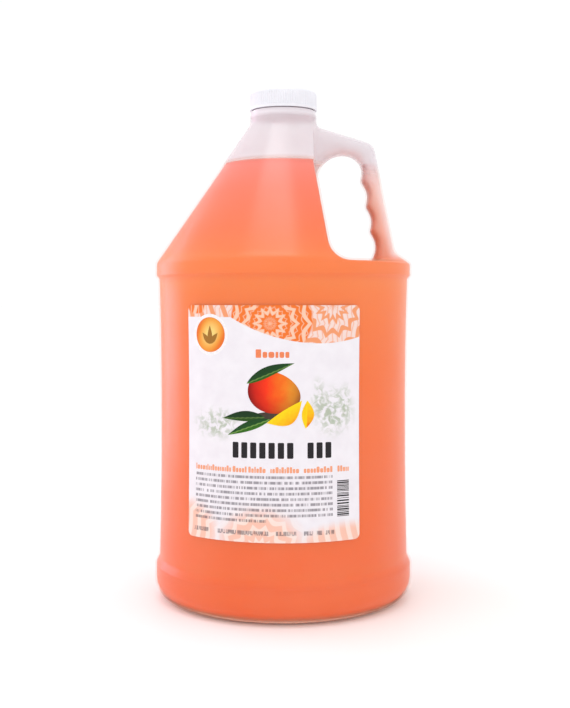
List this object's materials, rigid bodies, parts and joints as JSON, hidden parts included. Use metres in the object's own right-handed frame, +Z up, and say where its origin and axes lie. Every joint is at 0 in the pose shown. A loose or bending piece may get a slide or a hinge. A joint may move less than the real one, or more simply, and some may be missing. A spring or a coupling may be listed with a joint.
{
  "type": "oil jug",
  "caption": "Round translucent plastic jug with a built-in side handle, a screw cap with a foam liner, a wrap-on front label and an orange oil fill.",
  "frame": {"origin": "centre of the base, on the plane it stands on", "axes": "+Z up along the bottle's axis, +X towards the handle, -Y towards the front label"},
  "size_m": [0.153, 0.153, 0.2994],
  "materials": {
    "natural_hdpe": "translucent satin",
    "white_cap": "satin",
    "foam_liner": "matte foam",
    "label_film": "gloss film",
    "orange_oil": "liquid"
  },
  "bodies": {
    "bottle": {"jug": "natural_hdpe", "front_label": "label_film", "massage_oil": "orange_oil"},
    "liner": {"cap_liner": "foam_liner"},
    "cap": {"screw_cap": "white_cap"}
  },
  "joints": [
    {"name": "cap_lift", "type": "slide", "parent": "bottle", "child": "liner", "axis": [0, 0, 1], "range_m": [0, 0.0127]},
    {"name": "cap_turn", "type": "hinge", "parent": "liner", "child": "cap", "pos_m": [0, 0, 0.294], "axis": [0, 0, 1], "range_deg": [0, 1080]}
  ],
  "couplings": [
    {"joint": "cap_lift", "follows": "cap_turn", "m_per_rad": 0.0006737}
  ]
}
